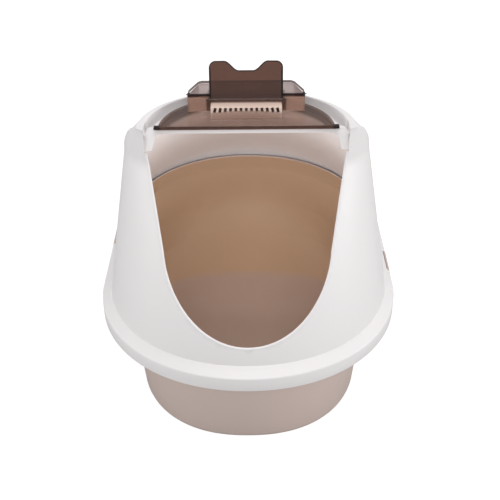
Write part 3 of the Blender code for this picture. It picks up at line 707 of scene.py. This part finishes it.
def make_hood():
    wall = HOOD_WALL
    edge = 0.0008
    rings = [oval(edge, SKIRT_Z), oval(edge * 0.3, SKIRT_Z + edge * 0.3), oval(0.0, SKIRT_Z + edge)]
    top = LEDGE_OUTER_Z - 0.0030
    for turn in (0, 18, 36, 54, 72):
        bend = 0.0030 * (1 - cos(radians(turn)))
        rings.append(oval(bend, top + 0.0030 * sin(radians(turn))))
    inner = LEDGE_INSET
    rings += [oval(inner - 0.0035, LEDGE_INNER_Z - 0.0019), oval(inner - 0.0015, LEDGE_INNER_Z - 0.0008)]
    rings += hood_side(0.0)
    rings += hood_roll(0.0)
    for share, drop in ((0.60, 0.0001), (0.68, 0.0005), (0.74, 0.0012), (0.78, 0.0022)):
        rings.append(lip_ring(share, CROWN_Z - drop))
    rings += [lip_ring(0.98, SEAT_Z + 0.0012), seat_ring(SEAT_OUTER - 0.0006, SEAT_Z)]
    rings += [seat_ring(SEAT_INNER + 0.0006, SEAT_Z), seat_ring(SEAT_INNER, SEAT_Z - 0.0006)]
    rings += [seat_ring(SEAT_INNER, SEAT_Z - wall), seat_ring(SEAT_OUTER + 0.001, SEAT_Z - wall)]
    rings += list(reversed(hood_roll(wall)[: ROLL_STEPS * 5 // 6]))
    rings += list(reversed(hood_side(wall)))
    rings += [oval(LEDGE_INSET - 0.0015, LEDGE_INNER_Z - 0.0008 - wall)]
    rings += [oval(0.0035, LEDGE_OUTER_Z - wall), oval(wall, LEDGE_OUTER_Z - wall - 0.001)]
    rings += [oval(wall, SKIRT_Z + edge), oval(wall - edge, SKIRT_Z)]
    shell = skin(rings, looped=True)
    facing_out(shell)
    bead = entry_bead(shell)
    hood = add_object("hood_moulded", shell)
    combine(hood, "DIFFERENCE", entry_cutter())
    combine(hood, "UNION", bead)
    combine(hood, "UNION", make_bar())
    for _, side in SIDES:
        for near in (LID_ARM_X - GAP - HINGE_LUG, LID_ARM_X + LID_ARM_WIDTH + GAP):
            low, high = span(side, near, near + HINGE_LUG)
            combine(hood, "UNION", hinge_lug(low, high, LID_HINGE_Y, LID_HINGE_Z, BARREL, 0.394))
        low, high = span(side, NOTCH_INNER_X, WIDTH / 2 + 0.010)
        reach = LATCH_HALF + NOTCH_CLEAR
        middle = -side * LATCH_Y
        notch = block((low, middle - reach, SKIRT_Z - 0.010), (high, middle + reach, LEDGE_INNER_Z))
        combine(hood, "DIFFERENCE", notch)
    settle(hood)
    return dress(hood, WHITE, "hood", "hood")


# ---------------------------------------------------------------- latches
def make_latch(ending, side):
    half = LATCH_THICK / 2
    middle = LATCH_OUTER_X - half
    foot = LATCH_FOOT_Z
    points = arc((middle, LATCH_HINGE_Z + LATCH_HEAD), half, 0, 180, 14)
    points += [(middle - half, foot + 0.0010), (middle - half + 0.0010, foot)]
    points += [(LATCH_OUTER_X + 0.0022, foot), (LATCH_OUTER_X + 0.0028, foot + 0.0012)]
    points += [(LATCH_OUTER_X, foot + 0.0060)]
    y = -side * LATCH_Y
    shape = prism([(side * x, z) for x, z in points], y - LATCH_HALF, y + LATCH_HALF, axis="Y")
    latch = add_object(f"latch_{ending}_moulded", soften(shape, 0.0005, 2))
    eye = [(side * middle + a, LATCH_HINGE_Z + b) for a, b in arc((0, 0), BORE_SMALL, 0, 345, 23)]
    combine(latch, "DIFFERENCE", prism(eye, y - LATCH_HALF - 0.001, y + LATCH_HALF + 0.001, axis="Y"))
    settle(latch)
    return dress(latch, BEIGE, f"latch_{ending}", f"latch_{ending}")


# ---------------------------------------------------------------- top lid
def half_disc(half, front_y, steps=90):
    """The lid's D shape: a straight front edge, and an arc behind it about the seat's centre."""
    start = degrees(asin((front_y - SEAT_Y) / (half * SEAT_ROUND)))
    points = arc((0, 0), half, start, 180 - start, steps)
    return [(x, SEAT_Y + y * SEAT_ROUND) for x, y in points]


def box_outline(inset, front_y=None):
    front = BOX_FRONT_Y + inset if front_y is None else front_y
    rear = BOX_REAR_Y - inset
    half = BOX_HALF - inset
    rear_half = BOX_REAR_HALF - inset * 0.6
    right = [
        (half, front),
        (half - 0.0004, front + 0.20 * (rear - front)),
        (rear_half + 0.0022, rear - 0.0035),
        (rear_half - 0.0020, rear),
    ]
    return right + [(-x, y) for x, y in reversed(right)]


def lid_rim(face):
    """The sloping rim, and the box's side walls, which are seen along their length."""
    centre, normal = face.center, face.normal
    rim = centre.z < LID_TOP_Z - 0.0001 and abs(normal.z) < 0.8
    return rim or (abs(normal.x) > 0.7 and abs(centre.x) > FLAP_HALF)


def lid_sill(face):
    return face.center.y < SILL_Y + 0.0005 and face.center.z > LID_TOP_Z + 0.0001


def box_wall(face):
    return abs(face.normal.y) > 0.7 and face.center.z > LID_TOP_Z and face.center.y > BOX_FRONT_Y - 0.001


def lid_tip(face):
    """The small front tabs and the cover's lugs."""
    centre = face.center
    end = abs(centre.x) > LID_TOP_HALF - 0.0012 and centre.z > LID_TAB_Z - 0.0002
    lug = abs(centre.x) > COVER_HALF and centre.z > BOX_TOP_Z - 0.0002
    return lug or (end and centre.y < LID_FRONT_Y + 0.006)


def make_lid():
    wall = LID_WALL
    slope = (LID_HALF - LID_TOP_HALF) / (LID_TOP_Z - LID_BASE_Z)
    ceiling = half_disc(LID_TOP_HALF - wall + slope * wall, LID_FRONT_Y + wall)
    shell = [at_height(ceiling, LID_TOP_Z - wall)]
    shell.append(at_height(half_disc(LID_HALF - wall, LID_FRONT_Y + wall), LID_BASE_Z))
    shell.append(at_height(half_disc(LID_HALF, LID_FRONT_Y), LID_BASE_Z))
    for turn in (0, 30, 60, 90):
        back = LID_ROUND * (1 - cos(radians(turn)))
        rise = LID_ROUND * sin(radians(turn))
        ring = half_disc(LID_TOP_HALF + 0.0010 - back, LID_FRONT_Y + back)
        shell.append(at_height(ring, LID_TOP_Z - LID_ROUND + rise))
    lid = add_object("lid_smoked", skin(shell))
    low = (-LID_HALF - 0.01, LID_FRONT_Y - 0.01, LID_BASE_Z - 0.01)
    high = (LID_HALF + 0.01, BAR_Y + BAR_DEPTH + 0.002, LID_LIP_Z)
    combine(lid, "DIFFERENCE", block(low, high))
    box = prism(box_outline(0), LID_TOP_Z - 0.001, BOX_TOP_Z)
    combine(lid, "UNION", soften(box, 0.0007, 2, 60))
    for _, side in SIDES:
        low, high = span(side, COVER_HALF + GAP, BOX_HALF)
        combine(lid, "UNION", hinge_lug(low, high, COVER_HINGE_Y, COVER_HINGE_Z, COVER_BARREL, LID_TOP_Z))
        low, high = span(side, FLAP_HALF + GAP, FLAP_HALF + GAP + FLAP_LUG)
        lug = hinge_lug(low, high, FLAP_Y, FLAP_Z, FLAP_LUG_ROUND, LID_TOP_Z - 0.001, 0.003)
        combine(lid, "UNION", lug)
        rib = block((low, FLAP_Y, LID_TOP_Z - 0.001), (high, BOX_FRONT_Y + 0.001, FLAP_Z))
        combine(lid, "UNION", rib)
        low, high = span(side, LID_ARM_X, LID_ARM_X + LID_ARM_WIDTH)
        arm = [(BOX_REAR_Y - 0.001, LID_TOP_Z - 0.0008), (LID_ARM_HEEL_Y, LID_TOP_Z - 0.0008)]
        arm.append((LID_ARM_BEND_Y, LID_HINGE_Z - 0.0020))
        arm += arc((LID_HINGE_Y, LID_HINGE_Z), BARREL, -150, 90, 24)
        arm += [(BOX_REAR_Y - 0.001, LID_HINGE_Z + BARREL)]
        combine(lid, "UNION", soften(prism(arm, low, high, axis="X"), 0.0006, 2))
        low, high = span(side, LID_ARM_X - 0.001, LID_ARM_X + LID_ARM_WIDTH + 0.001)
        combine(lid, "DIFFERENCE", rod((LID_HINGE_Y, LID_HINGE_Z), low, high, BORE))
        low, high = span(side, LID_TOP_HALF - 0.001, LID_HALF + 0.0010)
        corner = (high, LID_FRONT_Y + 0.005, LID_TAB_Z + 0.003)
        tab = block((low, LID_FRONT_Y - LID_TAB, LID_TAB_Z), corner)
        combine(lid, "UNION", soften(tab, 0.0005, 2))
    sill = [(-VENT_HALF, LID_TOP_Z - 0.001), (VENT_HALF, LID_TOP_Z - 0.001)]
    for step in range(25):
        x = VENT_HALF * (1 - step / 12)
        sill.append((x, LID_TOP_Z + SILL_END + (SILL_RISE - SILL_END) * (1 - (x / VENT_HALF) ** 2)))
    combine(lid, "UNION", prism(sill, SILL_Y - SILL_THICK, SILL_Y, axis="Y"))
    combine(lid, "DIFFERENCE", prism(box_outline(wall), LID_TOP_Z, BOX_TOP_Z + 0.02))
    low = (-BOX_WINDOW_HALF, BOX_FRONT_Y + 0.010, LID_TOP_Z - 0.01)
    high = (BOX_WINDOW_HALF, BOX_REAR_Y - 0.010, LID_TOP_Z + 0.01)
    combine(lid, "DIFFERENCE", block(low, high))
    low = (-VENT_HALF + 0.006, VENT_FRONT_Y + 0.003, LID_TOP_Z - 0.01)
    high = (VENT_HALF - 0.006, VENT_REAR_Y - 0.005, LID_TOP_Z + 0.001)
    combine(lid, "DIFFERENCE", block(low, high))
    settle(lid)
    dress(lid, LID_SMOKE, "lid", "top_lid")
    edge(lid, WALL_SMOKE, box_wall)
    edge(lid, SILL_SMOKE, lid_sill)
    edge(lid, EDGE_SMOKE, lid_rim)
    return edge(lid, FLAP_EDGE, lid_tip)


def make_cover():
    z = BOX_TOP_Z + GAP
    full = box_outline(0.0004, COVER_LUG_Y + 0.0008)
    points = [(COVER_HALF, COVER_FRONT_Y), (COVER_HALF, COVER_LUG_Y + 0.0008)] + full[: len(full) // 2]
    points += [(-x, y) for x, y in reversed(points)]
    cover = add_object("cover_smoked", soften(prism(points, z, z + COVER_THICK), 0.0006, 3))
    for _, side in SIDES:
        low, high = span(side, COVER_HALF - EYE_DEPTH, COVER_HALF + 0.001)
        combine(cover, "DIFFERENCE", rod((COVER_HINGE_Y, COVER_HINGE_Z), low, high, BORE_SMALL))
    dress(settle(cover), BOX_SMOKE, "cover", "rear_cover")
    return edge(cover, FLAP_EDGE, lambda face: abs(face.normal.z) < 0.8)


def ear_outline():
    half, top = FLAP_HALF, FLAP_HEIGHT
    points = [(half, 0.0)] + arc((half - FLAP_CORNER, top - FLAP_CORNER), FLAP_CORNER, 0, 80, 14)
    for step in range(25):
        share = step / 24
        x = FLAP_EAR_X + (FLAP_DIP_X - FLAP_EAR_X) * share
        points.append((x, top - FLAP_DIP * (0.5 - 0.5 * cos(pi * share))))
    return points + [(-x, z) for x, z in reversed(points)]


def make_flap():
    half = FLAP_THICK / 2
    place = Matrix.Translation((0, FLAP_Y, FLAP_Z)) @ Matrix.Rotation(-FLAP_LEAN, 4, "X")
    plate = soften(prism(ear_outline(), -half, half, axis="Y"), 0.0005, 3)
    wide = [face for face in plate.faces if face.calc_area() > 0.001]
    bmesh.ops.inset_individual(plate, faces=wide, thickness=FLAP_RIM)
    bmesh.ops.transform(plate, matrix=place, verts=plate.verts)
    flap = add_object("flap_smoked", plate)
    parts = [rod((0, 0), -FLAP_HALF, FLAP_HALF, FLAP_BARREL)]
    for _, side in SIDES:
        low, high = span(side, FLAP_HALF - FLAP_RIB_WIDTH, FLAP_HALF)
        rib = block((low, -half, 0.0), (high, half + FLAP_RIB, FLAP_HEIGHT - FLAP_CORNER))
        parts.append(soften(rib, 0.0005, 2))
    for part in parts:
        bmesh.ops.transform(part, matrix=place, verts=part.verts)
        combine(flap, "UNION", part)
    for _, side in SIDES:
        low, high = span(side, FLAP_HALF - EYE_DEPTH, FLAP_HALF + 0.001)
        combine(flap, "DIFFERENCE", rod((FLAP_Y, FLAP_Z), low, high, BORE_SMALL))
    dress(settle(flap), FLAP_SMOKE, "flap", "ear_flap")
    return edge(flap, FLAP_EDGE, lambda face: face.area < 0.00015 and face.center.z > FLAP_Z + 0.004)


# ---------------------------------------------------------------- vent
def vent_section(x, grow):
    foot = VENT_FOOT_Y - VENT_FOOT_CURVE * (x / VENT_HALF) ** 2
    low = LID_TOP_Z + GAP - (0.003 if grow else 0)
    slope = (VENT_FRONT_Y - foot) / (VENT_TOP_Z - LID_TOP_Z)
    down = low - (LID_TOP_Z + GAP)
    points = [(foot + grow + slope * down, low), (VENT_FRONT_Y + grow, VENT_TOP_Z - grow)]
    points += [(VENT_REAR_Y - grow, VENT_TOP_Z - grow), (VENT_REAR_Y - grow, low)]
    return [Vector((x, y, z)) for y, z in points]


def box_cluster(boxes):
    made = bmesh.new()
    for centre, half, turn in boxes:
        place = Matrix.Translation(centre) @ Matrix.Rotation(turn, 4, "Y")
        place = place @ Matrix.Diagonal((*(2 * size for size in half), 1))
        bmesh.ops.create_cube(made, size=1.0, matrix=place)
    return made


def make_vent():
    wall = VENT_WALL
    steps = 30
    outer = [vent_section(VENT_HALF * (2 * step / steps - 1), 0.0) for step in range(steps + 1)]
    inner = [vent_section((VENT_HALF - wall) * (2 * step / steps - 1), wall) for step in range(steps + 1)]
    vent = add_object("vent_moulded", soften(skin(outer), 0.0008, 3, 50))
    combine(vent, "DIFFERENCE", skin(inner))
    boxes = []
    middle = (VENT_SLOTS - 1) / 2
    for number in range(VENT_SLOTS):
        place = number - middle
        foot = SLOT_FOOT_Z - SLOT_DROP * (place / middle) ** 2
        rise = (SLOT_TOP_Z - foot) / 2
        turn = -VENT_FAN * place / middle
        x = place * VENT_PITCH
        boxes.append(((x, VENT_FRONT_Y - 0.003, foot + rise), (VENT_SLOT / 2, 0.0055, rise), turn))
        if abs(place) <= (VENT_REAR_SLOTS - 1) / 2:
            boxes.append(((x, VENT_REAR_Y - 0.0030, VENT_TOP_Z), (VENT_SLOT / 2, 0.0008, 0.004), 0.0))
    combine(vent, "DIFFERENCE", box_cluster(boxes))
    dress(settle(vent), TAN, "lid", "vent_grille")
    # The faces inside the vent take the painted shade.
    front = VENT_FOOT_Y + VENT_WALL * 0.7
    top = VENT_TOP_Z - VENT_WALL * 0.7
    return edge(vent, TAN_INSIDE_PAINTED_SHADE, lambda face: face.center.y > front and face.center.z < top)


def make_filter():
    low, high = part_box("filter_pad")
    shape = soften(block(low, high), 0.0012, 3)
    pad = settle(add_object("filter_foam", shape))
    return dress(pad, FOAM, "lid", "filter_pad")


def dress_pins():
    for name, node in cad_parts.items():
        if "pin" not in name:
            continue
        node.data.materials.clear()
        node.data.materials.append(PIN_PLASTIC)
        node.data.shade_smooth()
        node.data.set_sharp_from_angle(angle=radians(40))


# ---------------------------------------------------------------- surroundings
def make_floor():
    made = bmesh.new()
    bmesh.ops.create_grid(made, x_segments=1, y_segments=1, size=6.0)
    floor = add_object("floor", made)
    finish, nodes, links = new_material("studio_floor")
    output = nodes.new("ShaderNodeOutputMaterial")
    mix = nodes.new("ShaderNodeMixShader")
    path = nodes.new("ShaderNodeLightPath")
    links.new(path.outputs["Is Camera Ray"], mix.inputs["Fac"])
    for slot, pale, glow in ((1, 0.60, 0.0), (2, 0.35, 0.85)):
        shader = nodes.new("ShaderNodeBsdfPrincipled")
        shader.inputs["Roughness"].default_value = 0.9
        shader.inputs["Specular IOR Level"].default_value = 0.1
        shader.inputs["Base Color"].default_value = grey(pale)
        shader.inputs["Emission Color"].default_value = grey(1.0)
        shader.inputs["Emission Strength"].default_value = glow
        links.new(shader.outputs["BSDF"], mix.inputs[slot])
    links.new(mix.outputs["Shader"], output.inputs["Surface"])
    floor.data.materials.append(finish)
    floor.location.z = -0.0002


def area_light(name, place, target, size, power):
    data = bpy.data.lights.new(name, "AREA")
    data.shape = "RECTANGLE"
    data.size, data.size_y = size
    data.energy = power
    made = bpy.data.objects.new(name, data)
    made.location = place
    made.rotation_euler = (Vector(target) - Vector(place)).to_track_quat("-Z", "Y").to_euler()
    bpy.context.scene.collection.objects.link(made)
    return made


def make_light():
    world = bpy.data.worlds.new("studio")
    bpy.context.scene.world = world
    world.use_nodes = True
    nodes, links = world.node_tree.nodes, world.node_tree.links
    nodes.clear()
    output = nodes.new("ShaderNodeOutputWorld")
    lit = nodes.new("ShaderNodeBackground")
    lit.inputs["Strength"].default_value = 0.45
    seen = nodes.new("ShaderNodeBackground")
    seen.inputs["Strength"].default_value = 1.05
    path = nodes.new("ShaderNodeLightPath")
    mix = nodes.new("ShaderNodeMixShader")
    links.new(path.outputs["Is Camera Ray"], mix.inputs["Fac"])
    links.new(lit.outputs["Background"], mix.inputs[1])
    links.new(seen.outputs["Background"], mix.inputs[2])
    links.new(mix.outputs["Shader"], output.inputs["Surface"])
    area_light("top", (0.10, 0.05, 2.3), (0, 0, 0.2), (2.0, 2.0), 25)
    area_light("front", (-0.10, -2.25, 1.75), (0, 0, 0.25), (1.4, 1.0), 17)
    area_light("right", (2.2, -0.7, 0.8), (0, 0, 0.25), (1.0, 1.0), 19)
    area_light("left", (-2.2, -0.7, 0.8), (0, 0, 0.25), (1.0, 1.0), 13)
    cabin = area_light("cabin", (0, -0.10, 0.215), (0, 0.18, 0.34), (0.22, 0.08), 0.42)
    cabin.visible_glossy = False


def make_camera():
    data = bpy.data.cameras.new("view")
    data.lens = 60
    data.sensor_width = 36
    made = bpy.data.objects.new("view", data)
    turn = Matrix.Rotation(radians(90 - 34.7), 4, "X") @ Matrix.Rotation(radians(-0.5), 4, "Z")
    made.matrix_world = Matrix.Translation((0.003, -1.035, 0.853)) @ turn
    bpy.context.scene.collection.objects.link(made)
    bpy.context.scene.camera = made


make_pan()
make_hood()
for ending, side in SIDES:
    make_latch(ending, side)
make_lid()
make_cover()
make_flap()
make_vent()
make_filter()
dress_pins()
make_floor()
make_light()
make_camera()
bpy.context.scene.view_settings.view_transform = "Standard"
